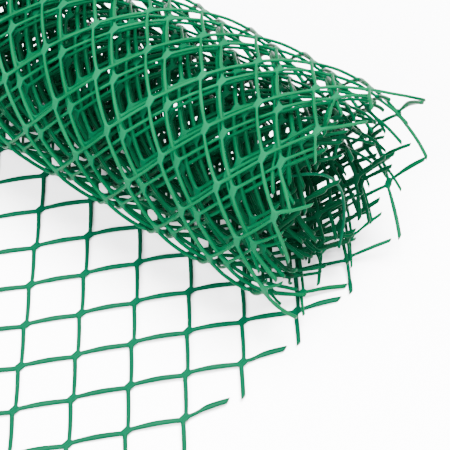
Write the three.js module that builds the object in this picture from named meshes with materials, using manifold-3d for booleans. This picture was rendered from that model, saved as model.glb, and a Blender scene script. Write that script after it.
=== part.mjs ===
// A roll of extruded plastic garden mesh that lies on its side with its free end laid out flat.
// The net is one moulded piece: two sets of parallel strands cross at fused joints. It is cut
// square at its sides and ends, so every strand there ends in a short stub.
// Millimetres, +Z up. X runs along the roll, and the free end lies towards -Y.
// The origin is on the floor, under the middle of the whole object.
import * as THREE from "three";
import { mergeVertices } from "three/addons/utils/BufferGeometryUtils.js";
import Module from "manifold-3d";

const wasm = await Module();
wasm.setup();

// The net.
const netWidth = 1000;
const netLength = 5000;
const cellSide = 40;
const cellAngle = 106.4; // degrees, between the two strands that leave a joint towards one side
const strandWidth = 2.8;
const strandThickness = 2.4;
const jointWidth = 3;
const jointLength = 8; // the plastic webs the joint's sharp corners, so it is long towards Y

// The winding.
const outerRadius = 83;
const boreRadius = 28;
const endNotchDepth = 12; // how deep the gap between two turns shows in the roll's ends
const outsideFacets = 32;
const boreFacets = 24;
const notchStepsPerTurn = 12;

// The free end.
const freeEnd = 320; // from the line where the roll touches the floor to the cut front edge
const nearestJoint = 6.5; // from that line to the first row of joints

const turns = (netLength - freeEnd) / (Math.PI * (outerRadius + boreRadius));
const turnPitch = (outerRadius - boreRadius - strandThickness) / turns;
const halfAngle = THREE.MathUtils.degToRad(cellAngle / 2);
const columnStep = cellSide * Math.cos(halfAngle);
const rowStep = cellSide * Math.sin(halfAngle);

// Turns a closed geometry into a solid that can be cut and joined.
function solidOf(geometry) {
  const bare = geometry.clone();
  bare.deleteAttribute("normal");
  bare.deleteAttribute("uv");
  const merged = mergeVertices(bare, 1e-4);
  return new wasm.Manifold(
    new wasm.Mesh({
      numProp: 3,
      vertProperties: new Float32Array(merged.attributes.position.array),
      triVerts: new Uint32Array(merged.index.array),
    }),
  );
}

function geometryOf(solid) {
  const mesh = solid.getMesh();
  const position = new Float32Array(mesh.numVert * 3);
  for (let i = 0; i < mesh.numVert; i++) {
    const start = i * mesh.numProp;
    position.set(mesh.vertProperties.subarray(start, start + 3), i * 3);
  }
  const geometry = new THREE.BufferGeometry();
  geometry.setAttribute("position", new THREE.BufferAttribute(position, 3));
  geometry.setIndex(new THREE.BufferAttribute(new Uint32Array(mesh.triVerts), 1));
  geometry.computeVertexNormals();
  return geometry;
}

// A bar along X with flat facets at the given radius from the roll's axis, one facet at the
// bottom.
function barAlongX(radius, facets, length) {
  const cornerRadius = radius / Math.cos(Math.PI / facets);
  const bar = new THREE.CylinderGeometry(cornerRadius, cornerRadius, length, facets);
  bar.rotateY(Math.PI / facets);
  bar.rotateZ(Math.PI / 2);
  return bar.translate(0, 0, outerRadius);
}

// The line midway between two turns, from the floor up the back, over the top and inwards.
class GapBetweenTurns extends THREE.Curve {
  constructor(x) {
    super();
    this.x = x;
  }

  getPoint(t, target = new THREE.Vector3()) {
    const turn = t * (turns - 1);
    const angle = turn * 2 * Math.PI;
    const radius = outerRadius - (strandThickness + turnPitch) / 2 - turn * turnPitch;
    return target.set(
      this.x,
      radius * Math.sin(angle),
      outerRadius - radius * Math.cos(angle),
    );
  }
}

// A sharp groove that follows the gap round an end of the roll. Half of its diamond section
// lies beyond the end.
function endNotch(x) {
  const halfGap = (turnPitch - strandThickness) / 2;
  const section = new THREE.Shape([
    new THREE.Vector2(0, -halfGap),
    new THREE.Vector2(endNotchDepth, 0),
    new THREE.Vector2(0, halfGap),
    new THREE.Vector2(-endNotchDepth, 0),
  ]);
  return new THREE.ExtrudeGeometry(section, {
    steps: Math.round((turns - 1) * notchStepsPerTurn),
    extrudePath: new GapBetweenTurns(x),
    bevelEnabled: false,
  });
}

function rolledNet() {
  const body = solidOf(barAlongX(outerRadius, outsideFacets, netWidth));
  const bore = solidOf(barAlongX(boreRadius, boreFacets, netWidth + 2 * endNotchDepth));
  const notches = [-netWidth / 2, netWidth / 2].map((x) => solidOf(endNotch(x)));
  return wasm.Manifold.difference([body, bore, ...notches]);
}

// The joints that lie on the flat end. Their columns and rows are a chequerboard, with a
// joint in the outermost column of every second row.
function laidJoints() {
  const columnsEachWay = Math.floor(netWidth / 2 / columnStep);
  const rows = Math.floor((freeEnd - nearestJoint) / rowStep);
  const joints = [];
  for (let row = 0; row <= rows; row++) {
    for (let column = -columnsEachWay; column <= columnsEachWay; column++) {
      const isJoint = (column + columnsEachWay + row) % 2 === 1;
      if (isJoint) joints.push({ column, row });
    }
  }
  return joints;
}

// A straight strand through the given joint, long enough to cross the whole flat end.
function strandThrough({ column, row }, angle) {
  const length = 2 * (netWidth + freeEnd);
  const strand = new THREE.BoxGeometry(length, strandWidth, strandThickness);
  strand.rotateZ(angle);
  return strand.translate(
    column * columnStep,
    -nearestJoint - row * rowStep,
    strandThickness / 2,
  );
}

function laidNet() {
  const joints = laidJoints();
  const rising = new Map(joints.map((joint) => [joint.column + joint.row, joint]));
  const falling = new Map(joints.map((joint) => [joint.column - joint.row, joint]));
  const webs = joints.map(({ column, row }) =>
    new THREE.BoxGeometry(jointWidth, jointLength, strandThickness).translate(
      column * columnStep,
      -nearestJoint - row * rowStep,
      strandThickness / 2,
    ),
  );
  const pieces = [
    ...webs,
    ...[...rising.values()].map((joint) => strandThrough(joint, halfAngle)),
    ...[...falling.values()].map((joint) => strandThrough(joint, -halfAngle)),
  ];
  const sheet = new THREE.BoxGeometry(netWidth, freeEnd, strandThickness);
  sheet.translate(0, -freeEnd / 2, strandThickness / 2);
  return wasm.Manifold.union(pieces.map(solidOf)).intersect(solidOf(sheet));
}

const greenPlastic = new THREE.MeshStandardMaterial({
  color: new THREE.Color(0.03, 0.42, 0.24),
  roughness: 0.42,
  metalness: 0,
});

const netSolid = rolledNet().add(laidNet()).asOriginal();
const net = new THREE.Mesh(geometryOf(netSolid), greenPlastic);
net.name = "garden_mesh";

const gardenMesh = new THREE.Group();
gardenMesh.add(net);
gardenMesh.position.y = (freeEnd - outerRadius) / 2;

export default gardenMesh;
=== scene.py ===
import math

import bpy
import numpy as np
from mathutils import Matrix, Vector


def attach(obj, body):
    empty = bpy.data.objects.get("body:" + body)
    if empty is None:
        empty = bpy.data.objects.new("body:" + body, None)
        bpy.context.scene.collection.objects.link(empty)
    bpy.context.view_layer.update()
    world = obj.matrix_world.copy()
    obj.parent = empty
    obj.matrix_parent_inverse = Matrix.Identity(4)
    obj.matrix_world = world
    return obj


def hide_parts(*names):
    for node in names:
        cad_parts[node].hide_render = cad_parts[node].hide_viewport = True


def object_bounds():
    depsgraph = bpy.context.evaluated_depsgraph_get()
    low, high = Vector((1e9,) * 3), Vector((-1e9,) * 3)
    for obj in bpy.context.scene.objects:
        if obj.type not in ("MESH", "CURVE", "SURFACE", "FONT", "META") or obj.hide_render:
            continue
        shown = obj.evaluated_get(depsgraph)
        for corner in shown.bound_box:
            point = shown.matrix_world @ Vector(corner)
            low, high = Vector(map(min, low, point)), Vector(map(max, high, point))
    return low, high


# A roll of green extruded garden mesh lies on a pale floor, and its free end lies flat in front
# of it. The net is one moulded piece. It is modelled flat, one joint at a time, and then wound.

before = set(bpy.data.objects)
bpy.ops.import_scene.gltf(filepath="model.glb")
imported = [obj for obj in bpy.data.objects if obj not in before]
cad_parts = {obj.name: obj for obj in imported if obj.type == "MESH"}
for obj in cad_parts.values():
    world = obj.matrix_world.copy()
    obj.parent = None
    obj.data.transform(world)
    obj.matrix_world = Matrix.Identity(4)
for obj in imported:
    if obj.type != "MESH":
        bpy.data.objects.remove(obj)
cad_low, cad_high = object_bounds()
MM = 0.001

# The camera stands in front of the roll's right end and looks down on it. It was placed from
# the joints of the laid net in the photograph, which is 450 pixels wide and high.

picture_side = 450
focal_pixels = 1800
sensor_width = 36
nearest_seen = 50 * MM
camera_place = Vector((986.2, -662.1, 919.2)) * MM
camera_down = math.radians(43.0)
camera_left = math.radians(37.6)

camera_data = bpy.data.cameras.new("camera")
camera_data.sensor_width = sensor_width
camera_data.lens = sensor_width * focal_pixels / picture_side
camera_data.clip_start = nearest_seen
camera = bpy.data.objects.new("camera", camera_data)
bpy.context.collection.objects.link(camera)
camera.location = camera_place
camera.rotation_euler = (math.pi / 2 - camera_down, 0, camera_left)
bpy.context.scene.camera = camera

# At a joint of the net two strands meet, run on side by side for a few millimetres as one, and
# part again, so both are kinked there. In between they arch slightly. Strand A runs towards the
# back right and strand B towards the front right. A is the thicker one, and B lies on top of it.

cell_side = 40 * MM
half_angle = math.radians(53.2)
column_step = cell_side * math.cos(half_angle)
row_step = cell_side * math.sin(half_angle)
joint_half = 1.6 * MM  # half the length over which the two strands are one
joint_reach = 2.5 * MM  # from there to where the strands are free
span = math.hypot(column_step, row_step - 2 * joint_half)
span_heading = math.atan2(row_step - 2 * joint_half, column_step)

a_thickness = 2.8 * MM
a_bow = 1.0 * MM  # how far the strand arches sideways between two joints
a_lift = -0.3 * MM  # how high it lies at a joint
a_leaving_share = 0.72  # its width where it leaves a joint, as a share of that between joints
a_arriving_share = 0.86
b_thickness = 2.3 * MM
b_bow = 0.4 * MM
b_lift = 0.4 * MM
b_leaving_share = 1.04
b_arriving_share = 0.92

weld_distance = 0.05 * MM
end_face_reach = 0.5 * MM  # how near to a strand's start the centre of its end face lies
flat_angle = math.radians(0.5)


def select_none():
    bpy.ops.object.select_all(action="DESELECT")


def choose(piece):
    select_none()
    piece.select_set(True)
    bpy.context.view_layer.objects.active = piece


def heading_vector(angle):
    return Vector((math.cos(angle), math.sin(angle), 0))


def add_ring(centre, heading, width, thickness, sides):
    """Adds the upright oval that a half strand starts from."""
    select_none()
    bpy.ops.mesh.primitive_circle_add(
        vertices=sides,
        radius=0.5,
        location=centre,
        rotation=(math.pi / 2, 0, heading + math.pi / 2),
    )
    ring = bpy.context.object
    ring.scale = (width, thickness, 1)
    bpy.ops.object.transform_apply()
    return ring


def half_strand(chord, leaves, bow, lift, joint_width, middle_width, stations):
    """The points, headings and widths of a half strand, from the joint to the middle of the
    span. leaves is 1 where the strand sets out from the joint and -1 where it arrives."""
    foot = Vector((0, math.copysign(joint_half, chord * leaves), 0))
    along = heading_vector(chord) * leaves
    left = heading_vector(chord + math.pi / 2)
    line = []
    for k in range(stations + 1):
        share = k / stations
        run = joint_reach + (span / 2 - joint_reach) * share
        part = run / span
        arch = 4 * bow * part * (1 - part)
        up = Vector((0, 0, lift * (1 - share)))
        turn = math.atan(4 * bow / span) * (1 - 2 * part) * leaves
        heading = chord + turn + (0 if leaves > 0 else math.pi)
        swell = share * share * (3 - 2 * share)
        width = joint_width + (middle_width - joint_width) * swell
        line.append((foot + along * run + left * arch + up, heading, width))
    return line


def extrude_along(joint, line):
    """Draws one end face of the joint out along a half strand, and leaves the far end open."""
    start, heading, _ = line[0]
    toward = heading_vector(heading)
    bpy.ops.mesh.select_all(action="DESELECT")
    bpy.ops.object.mode_set(mode="OBJECT")
    for face in joint.data.polygons:
        near = (face.center - start).length < end_face_reach
        face.select = near and face.normal.dot(toward) > 0.99
    bpy.ops.object.mode_set(mode="EDIT")
    for before, after in zip(line[:-1], line[1:]):
        bpy.ops.mesh.extrude_region_move(
            TRANSFORM_OT_translate={"value": after[0] - before[0]}
        )
        bpy.ops.transform.rotate(
            value=-(after[1] - before[1]),
            orient_axis="Z",
            orient_type="GLOBAL",
            center_override=after[0],
        )
        growth = after[2] / before[2]
        bpy.ops.transform.resize(value=(growth, growth, 1), center_override=after[0])
    bpy.ops.mesh.delete(type="ONLY_FACE")


def make_joint(name, sides, stations, a_width, b_width):
    """Models one joint with its four half strands."""
    a_leaving = (1, a_bow, a_lift, a_leaving_share * a_width, a_width, stations)
    a_arriving = (-1, a_bow, a_lift, a_arriving_share * a_width, a_width, stations)
    b_leaving = (1, b_bow, b_lift, b_leaving_share * b_width, b_width, stations)
    b_arriving = (-1, b_bow, b_lift, b_arriving_share * b_width, b_width, stations)
    lines = [
        half_strand(span_heading, *a_leaving),
        half_strand(span_heading, *a_arriving),
        half_strand(-span_heading, *b_leaving),
        half_strand(-span_heading, *b_arriving),
    ]
    rings = []
    for line, thickness in zip(lines, (a_thickness, a_thickness, b_thickness, b_thickness)):
        rings.append(add_ring(*line[0], thickness, sides))
    for ring in rings:
        ring.select_set(True)
    bpy.context.view_layer.objects.active = rings[0]
    bpy.ops.object.join()
    joint = bpy.context.object
    joint.name = name
    bpy.ops.object.mode_set(mode="EDIT")
    bpy.ops.mesh.select_mode(type="VERT")
    bpy.ops.mesh.select_all(action="SELECT")
    bpy.ops.mesh.convex_hull(join_triangles=False)
    bpy.ops.mesh.select_all(action="SELECT")
    bpy.ops.mesh.dissolve_limited(angle_limit=flat_angle)
    bpy.ops.mesh.select_mode(type="FACE")
    for line in lines:
        extrude_along(joint, line)
    bpy.ops.object.mode_set(mode="OBJECT")
    return joint


def make_pair(name, sides, stations, a_width, b_width):
    """Joins two joints into the pattern that repeats along and across the net."""
    pair = make_joint(name, sides, stations, a_width, b_width)
    choose(pair)
    bpy.ops.object.duplicate_move(
        TRANSFORM_OT_translate={"value": (column_step, row_step, 0)}
    )
    pair.select_set(True)
    bpy.context.view_layer.objects.active = pair
    bpy.ops.object.join()
    bpy.ops.object.mode_set(mode="EDIT")
    bpy.ops.mesh.select_all(action="SELECT")
    bpy.ops.mesh.remove_doubles(threshold=weld_distance)
    bpy.ops.object.mode_set(mode="OBJECT")
    pair.location = (0, 0, 0)
    return pair


# The net comes off the machine flat. It is 1 m wide and cut square at its sides and ends, so
# each strand ends in a slanted cut stub. Here y is the distance from the cut front edge, and
# x = 0 is the middle of the net.

net_width = cad_high.x - cad_low.x
net_length = 4985 * MM
free_end = 320 * MM
laid_rows = 9
nearest_row = 8.9 * MM  # from the line where the roll rests to the row of joints before it
first_row = free_end - nearest_row - laid_rows * row_step
middle_column = 1.8 * MM
last_column = math.floor(net_width / 2 / column_step) * column_step


def cut_net(piece, place, outward):
    """Cuts the flat net off along a line, and closes the cut strands."""
    choose(piece)
    bpy.ops.object.mode_set(mode="EDIT")
    bpy.ops.mesh.select_all(action="SELECT")
    bpy.ops.mesh.bisect(
        plane_co=place, plane_no=outward, use_fill=True, clear_outer=True
    )
    bpy.ops.object.mode_set(mode="OBJECT")


def close_strands(piece):
    """Closes the strands that end where the next stretch of net goes on."""
    choose(piece)
    bpy.ops.object.mode_set(mode="EDIT")
    bpy.ops.mesh.select_mode(type="EDGE")
    bpy.ops.mesh.select_all(action="DESELECT")
    bpy.ops.mesh.select_non_manifold(
        use_wire=False, use_multi_face=False, use_non_contiguous=False, use_verts=False
    )
    bpy.ops.mesh.fill_holes(sides=0)
    bpy.ops.object.mode_set(mode="OBJECT")


def repeat(piece, count, step):
    """Repeats a stretch of net side by side, with its strands welded on to each other."""
    choose(piece)
    array = piece.modifiers.new("array", "ARRAY")
    array.count = count
    array.use_relative_offset = False
    array.use_constant_offset = True
    array.constant_offset_displace = step
    array.use_merge_vertices = True
    array.merge_threshold = weld_distance
    bpy.ops.object.modifier_apply(modifier=array.name)


def make_band(pair):
    """Repeats the pair of joints across the net's width, and cuts the net's two sides."""
    pairs_each_way = math.ceil(net_width / 2 / column_step / 2)
    choose(pair)
    bpy.ops.transform.translate(
        value=(middle_column - 2 * pairs_each_way * column_step, 0, 0)
    )
    bpy.ops.object.transform_apply()
    repeat(pair, 2 * pairs_each_way, (2 * column_step, 0, 0))
    cut_net(pair, (net_width / 2, 0, 0), (1, 0, 0))
    cut_net(pair, (-net_width / 2, 0, 0), (-1, 0, 0))
    return pair


def make_flat_net(name, band, from_row, rows):
    """Repeats the band over some rows of the net's length."""
    choose(band)
    bpy.ops.object.duplicate()
    piece = bpy.context.object
    piece.name = name
    bpy.ops.transform.translate(value=(0, first_row + from_row * row_step, 0))
    bpy.ops.object.transform_apply()
    repeat(piece, rows // 2, (0, 2 * row_step, 0))
    return piece


# The roll is the same net, wound by hand. It leaves the floor where the roll rests on it, goes
# up the back, over the top and down the front. The outer turns lie close on each other. Further
# in they are loose, ripple and slide along the roll, and each sinks a little more than the last.

roll_radius = (cad_high.z - cad_low.z) / 2
contact_y = cad_high.y - roll_radius
net_middle = 1.7 * MM  # half of the joint's thickness, so that the laid net touches the floor
winding_steps = 2000
most_turns = 16

# The distance from one turn to the next rises and falls slowly, in waves of so many a turn.
pitch = 3.9 * MM
pitch_sway = 0.4 * MM
pitch_waves = 0.42
pitch_start = 0.18
sink_each_turn = 0.2 * MM

# From three quarters of a turn on, the turns lie behind the outermost one at the right end, and
# sway to and fro along the roll. The sway grows from the fourth turn to the tenth.
set_back = 18 * MM
set_back_turn = 0.72
end_sway = 4.2 * MM
end_waves = 0.46
end_start = 3.07
end_sway_growth = 1.2 * MM
growth_from = 4
growth_turns = 6

# Slack in the net hangs out low on the front of the roll, most of all at the right end. It
# fades out between the second turn and the fifth.
slack_turn = 0.86
slack_half_width = 0.08
slack_all_along = 1 * MM
slack_at_end = 9 * MM
slack_end_reach = 250 * MM
slack_last_turn = 5
slack_fading_turns = 3

ripple_each_turn = 0.8 * MM
ripple_from = 0.4
ripple_turns = 4
ripple_waves = 7.3
ripple_across = 6
ripple_drift = 2
ripple_drift_waves = 1.7

laid_wave = 0.8 * MM
laid_wave_across = 20
laid_wave_along = 27
laid_wave_fading = 60 * MM

winding_turn = np.linspace(0, most_turns, winding_steps)
winding_wave = np.sin(2 * math.pi * pitch_waves * winding_turn + pitch_start)
winding_radius = (
    roll_radius
    - net_middle
    - pitch * winding_turn
    + pitch_sway * (winding_wave - math.sin(pitch_start))
)
winding_length = np.concatenate(
    [[0], np.cumsum((winding_radius[1:] + winding_radius[:-1]) / 2)]
) * (2 * math.pi * most_turns / (winding_steps - 1))

# Each cut stub is bent, longer or shorter, and curled in its own way from a little past its
# joint. Near the floor a stub only curls upwards, and less.
stub_count = 400
stub_random = np.random.default_rng(11)
stub_bend = np.radians(stub_random.uniform(-9, 13, stub_count))
stub_growth = stub_random.uniform(-0.3, 0.12, stub_count)
stub_curl = stub_random.uniform(-5, 4, stub_count) * MM
stub_stiff_part = 1 * MM
stub_bending_part = 6 * MM
stub_length = 21 * MM
near_floor = 60 * MM

# The stubs of the laid end and of the outermost turn are set one by one. Two of them meet in the
# corner of a cell where the net was cut through a joint.
stub_bend[4:17] = 0
stub_growth[4:17] = 0.05
stub_curl[4:17] = 0
stub_bend[5] = math.radians(13)
stub_bend[7] = math.radians(10)
stub_bend[9] = math.radians(6)
stub_growth[12] = 0.35
stub_growth[13] = 0.2
stub_growth[14] = 0.3
stub_bend[15] = math.radians(3)
stub_growth[15] = 0.85
stub_curl[15] = -4 * MM
stub_growth[16] = 0.36
stub_curl[16] = -8 * MM


def mesh_points(piece):
    points = np.empty(len(piece.data.vertices) * 3, np.float32)
    piece.data.vertices.foreach_get("co", points)
    return points.reshape(-1, 3).astype(float)


def set_mesh_points(piece, points):
    piece.data.vertices.foreach_set("co", points.astype(np.float32).ravel())
    piece.data.update()


def add_attribute(piece, name, values):
    attribute = piece.data.attributes.new(name, "FLOAT", "POINT")
    attribute.data.foreach_set("value", values.astype(np.float32))


def mark_joints(piece):
    """Stores how near each point is to a joint: 1 in a joint, 0 along the strands."""
    points = mesh_points(piece)
    column = (points[:, 0] - middle_column) / column_step
    row = (points[:, 1] - first_row) / row_step
    half_sum = (column + row) / 2
    half_difference = (column - row) / 2
    off = np.abs(half_sum - np.round(half_sum)) + np.abs(
        half_difference - np.round(half_difference)
    )
    add_attribute(piece, "near_joint", np.clip(1.35 - off * 6, 0, 1))


def bend_stubs(points):
    """Bends and shortens the cut stubs at the two sides of the net, each in its own way."""
    for side in (-1, 1):
        root_x = side * last_column + middle_column
        past = side * (points[:, 0] - root_x)
        root_row = np.round((points[:, 1] - first_row) / (2 * row_step))
        root_y = first_row + root_row * 2 * row_step
        runs_back = points[:, 1] > root_y
        stub = (root_row * 2 + runs_back).astype(int) * side % stub_count
        grip = np.clip((past - stub_stiff_part) / stub_bending_part, 0, 1)
        turn = side * stub_bend[stub] * grip
        stretch = 1 + stub_growth[stub] * grip
        run_x = (points[:, 0] - root_x) * stretch
        run_y = (points[:, 1] - root_y) * stretch
        out = past > 0
        bent_x = root_x + run_x * np.cos(turn) - run_y * np.sin(turn)
        bent_y = root_y + run_x * np.sin(turn) + run_y * np.cos(turn)
        points[:, 0] = np.where(out, bent_x, points[:, 0])
        points[:, 1] = np.where(out, bent_y, points[:, 1])
        curl = stub_curl[stub] * (np.clip(past, 0, None) / stub_length) ** 2
        low = points[:, 1] < free_end + near_floor
        points[:, 2] += np.where(low, np.abs(curl) / 3, curl)


def wind(piece):
    """Lays the flat net on the floor as far as the roll, and winds the rest of it up."""
    points = mesh_points(piece)
    bend_stubs(points)
    across = points[:, 0]
    along = points[:, 1]
    height = points[:, 2]
    wound = np.maximum(along - free_end, 0)
    turn = np.interp(wound, winding_length, winding_turn)
    angle = 2 * math.pi * turn

    right_part = np.clip((across - slack_end_reach) / slack_end_reach, 0, 1)
    slack = right_part * slack_at_end + slack_all_along
    slack *= np.exp(-(((turn % 1 - slack_turn) / slack_half_width) ** 2))
    slack *= np.clip(slack_last_turn - turn, 0, slack_fading_turns) / slack_fading_turns
    ripple = ripple_each_turn * np.clip(turn - ripple_from, 0, ripple_turns)
    ripple_drifting = ripple_drift * np.sin(ripple_drift_waves * turn)
    ripple *= np.sin(
        ripple_waves * turn + ripple_across * across / net_width + ripple_drifting
    )
    radius = np.interp(turn, winding_turn, winding_radius) - height + slack + ripple

    laid = along < free_end
    lift = laid_wave * (1 + np.sin(laid_wave_across * across + laid_wave_along * along))
    lift *= np.clip((free_end - along) / laid_wave_fading, 0, 1)

    inward = np.clip(turn - set_back_turn, 0, 1)
    sway = end_sway + end_sway_growth * np.clip(turn - growth_from, 0, growth_turns)
    sideways = sway * np.sin(2 * math.pi * end_waves * turn + end_start) - set_back

    placed = np.empty_like(points)
    placed[:, 0] = across + sideways * inward
    placed[:, 1] = contact_y + np.where(laid, along - free_end, radius * np.sin(angle))
    placed[:, 2] = np.where(
        laid,
        net_middle + height + lift,
        roll_radius - radius * np.cos(angle) - sink_each_turn * turn,
    )
    set_mesh_points(piece, placed)
    add_attribute(piece, "depth", turn)


# The plastic is an emerald polyethylene with a soft gloss. The colour drifts along the net, the
# die leaves fine lines and specks, and the joints are a little paler, partly from stretching and
# partly as a painted highlight. The laid end is painted a darker, bluer green as painted shade,
# and the inner turns are painted darker as painted shade for the light the outer turns hold
# back.

deep_green = (0, 0.028, 0.0098, 1)
bright_green = (0, 0.039, 0.0142, 1)
stretched_and_highlight_green = (0.001, 0.062, 0.03, 1)
laid_shade_green = (0, 0.018, 0.0095, 1)
shaded_green = (0, 0.008, 0.003, 1)
drift_scale = 18
speck_scale = 900
scuff_scale = 240

green_plastic = bpy.data.materials.new("green_plastic")
green_plastic.use_nodes = True
green_nodes = green_plastic.node_tree.nodes
green_links = green_plastic.node_tree.links
green_shader = green_nodes["Principled BSDF"]
green_shader.inputs["Specular IOR Level"].default_value = 0.008


def add_noise(place, scale, detail):
    noise = green_nodes.new("ShaderNodeTexNoise")
    noise.inputs["Scale"].default_value = scale
    noise.inputs["Detail"].default_value = detail
    green_links.new(place, noise.inputs["Vector"])
    return noise.outputs["Fac"]


def add_range(value, low, high, low_out, high_out):
    spread = green_nodes.new("ShaderNodeMapRange")
    spread.inputs["From Min"].default_value = low
    spread.inputs["From Max"].default_value = high
    spread.inputs["To Min"].default_value = low_out
    spread.inputs["To Max"].default_value = high_out
    green_links.new(value, spread.inputs["Value"])
    return spread.outputs["Result"]


def add_mix(factor, first, second):
    """Mixes two colours. Each is a fixed colour or an output of another node."""
    mix = green_nodes.new("ShaderNodeMix")
    mix.data_type = "RGBA"
    green_links.new(factor, mix.inputs[0])
    for socket, value in ((mix.inputs[6], first), (mix.inputs[7], second)):
        if isinstance(value, tuple):
            socket.default_value = value
        else:
            green_links.new(value, socket)
    return mix.outputs[2]


def read_attribute(name):
    node = green_nodes.new("ShaderNodeAttribute")
    node.attribute_name = name
    return node.outputs["Fac"]


place = green_nodes.new("ShaderNodeTexCoord").outputs["Object"]
drift = add_range(add_noise(place, drift_scale, 3), 0.35, 0.65, 0, 1)
speck = add_noise(place, speck_scale, 2)
scuff = add_noise(place, scuff_scale, 3)
colour = add_mix(drift, deep_green, bright_green)
# The joints are painted paler: partly stretched plastic, partly a painted highlight.
stretched_and_highlight = add_range(read_attribute("near_joint"), 0, 1, 0, 0.3)
colour = add_mix(stretched_and_highlight, colour, stretched_and_highlight_green)
# The laid end is painted a darker, bluer green: painted shade.
laid_painted_shade = add_range(read_attribute("depth"), 0, 0.25, 0.65, 0)
colour = add_mix(laid_painted_shade, colour, laid_shade_green)
# The inner turns are painted darker the deeper they lie in the roll: painted shade.
shade = add_range(read_attribute("depth"), 1.2, 7, 0, 0.8)
colour = add_mix(shade, colour, shaded_green)
green_links.new(colour, green_shader.inputs["Base Color"])
green_links.new(add_range(scuff, 0.3, 0.7, 0.24, 0.4), green_shader.inputs["Roughness"])
bump = green_nodes.new("ShaderNodeBump")
bump.inputs["Strength"].default_value = 0.35
bump.inputs["Distance"].default_value = 0.15 * MM
green_links.new(speck, bump.inputs["Height"])
green_links.new(bump.outputs["Normal"], green_shader.inputs["Normal"])

# The net is laid out in five stretches, which follow each other along its length, and each is
# wound to its own place. The strands are plainer where they lie deep in the roll, and wider
# there and at the free end. The first stretch and the last end in the net's two cut edges.

laid_band = make_band(
    make_pair("laid_band", sides=8, stations=5, a_width=4.6 * MM, b_width=3.1 * MM)
)
fine_band = make_band(
    make_pair("fine_band", sides=8, stations=4, a_width=2.9 * MM, b_width=2.4 * MM)
)
plain_band = make_band(
    make_pair("plain_band", sides=6, stations=3, a_width=3.5 * MM, b_width=2.9 * MM)
)

# Each stretch has a name, a band, the row of joints that it starts from and its rows.
stretches = [
    ("free_end", laid_band, -2, 12),
    ("outer_turns", fine_band, 10, 32),
    ("middle_turns", fine_band, 42, 32),
    ("inner_turns", plain_band, 74, 40),
    ("innermost_turns", plain_band, 114, 42),
]


def finish_net(piece):
    choose(piece)
    bpy.ops.object.shade_smooth()
    piece.data.materials.clear()
    piece.data.materials.append(green_plastic)
    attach(piece, "root")
    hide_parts("garden_mesh")


for name, band, from_row, rows in stretches:
    net = make_flat_net(name, band, from_row, rows)
    if name == "free_end":
        cut_net(net, (0, 0, 0), (0, -1, 0))
    if name == "innermost_turns":
        cut_net(net, (0, net_length, 0), (0, 1, 0))
    close_strands(net)
    mark_joints(net)
    wind(net)
    finish_net(net)

select_none()
laid_band.select_set(True)
fine_band.select_set(True)
plain_band.select_set(True)
bpy.ops.object.delete()

# One strand of the inner end has come loose and curls across the right end of the bore. It is
# part of an ellipse, and its upper end lies further into the roll.

curl_place = 486 * MM  # along the roll
curl_end_back = 22 * MM
curl_sideways = -30 * MM  # from the roll's axis to the middle of the curl
curl_down = 22 * MM
curl_half_width = 36 * MM
curl_half_height = 56 * MM
curl_from = math.radians(100)
curl_to = math.radians(-28)
curl_stations = 7
curl_strand_radius = 1.1 * MM

select_none()
bpy.ops.curve.primitive_bezier_curve_add()
curled_strand = bpy.context.object
curled_strand.name = "curled_strand"
curl_line = curled_strand.data.splines[0]
curl_line.bezier_points.add(curl_stations - 2)
for k, bezier_point in enumerate(curl_line.bezier_points):
    share = k / (curl_stations - 1)
    angle = curl_from + (curl_to - curl_from) * share
    bezier_point.co = (
        curl_place - curl_end_back * (1 - share) ** 4,
        contact_y + curl_sideways + curl_half_width * math.cos(angle),
        roll_radius - curl_down + curl_half_height * math.sin(angle),
    )
    bezier_point.handle_left_type = "AUTO"
    bezier_point.handle_right_type = "AUTO"
curled_strand.data.bevel_depth = curl_strand_radius
curled_strand.data.bevel_resolution = 3
curled_strand.data.use_fill_caps = True
bpy.ops.object.convert(target="MESH")
curled_strand = bpy.context.object
bpy.ops.object.mode_set(mode="EDIT")
bpy.ops.mesh.select_all(action="SELECT")
bpy.ops.mesh.remove_doubles(threshold=0.01 * MM)
bpy.ops.object.mode_set(mode="OBJECT")
finish_net(curled_strand)

# The floor is plain, pale and seamless, and the light is that of a white studio. A large
# softbox hangs over the roll, and a smaller one stands in front of it.

floor_side = 12
light_aim = Vector((0.2, 0, 0.05))

select_none()
bpy.ops.mesh.primitive_plane_add(size=floor_side, location=(0, 0, 0))
floor = bpy.context.object
floor.name = "floor"
floor_material = bpy.data.materials.new("floor")
floor_material.use_nodes = True
floor_shader = floor_material.node_tree.nodes["Principled BSDF"]
floor_shader.inputs["Base Color"].default_value = (0.9, 0.9, 0.91, 1)
floor_shader.inputs["Roughness"].default_value = 0.6
floor.data.materials.append(floor_material)

studio = bpy.data.worlds.new("studio")
studio.use_nodes = True
studio_light = studio.node_tree.nodes["Background"]
studio_light.inputs["Color"].default_value = (1, 1, 1, 1)
studio_light.inputs["Strength"].default_value = 0.35
bpy.context.scene.world = studio


def add_softbox(name, place, size, power):
    """Adds a square soft light that faces the roll."""
    data = bpy.data.lights.new(name, "AREA")
    data.shape = "SQUARE"
    data.size = size
    data.energy = power
    light = bpy.data.objects.new(name, data)
    bpy.context.collection.objects.link(light)
    light.location = place
    light.rotation_euler = (light_aim - light.location).to_track_quat("-Z", "Y").to_euler()


add_softbox("overhead", place=(0.7, 0.5, 2.6), size=2.0, power=900)
add_softbox("front", place=(0.9, -2.0, 1.7), size=1.6, power=500)
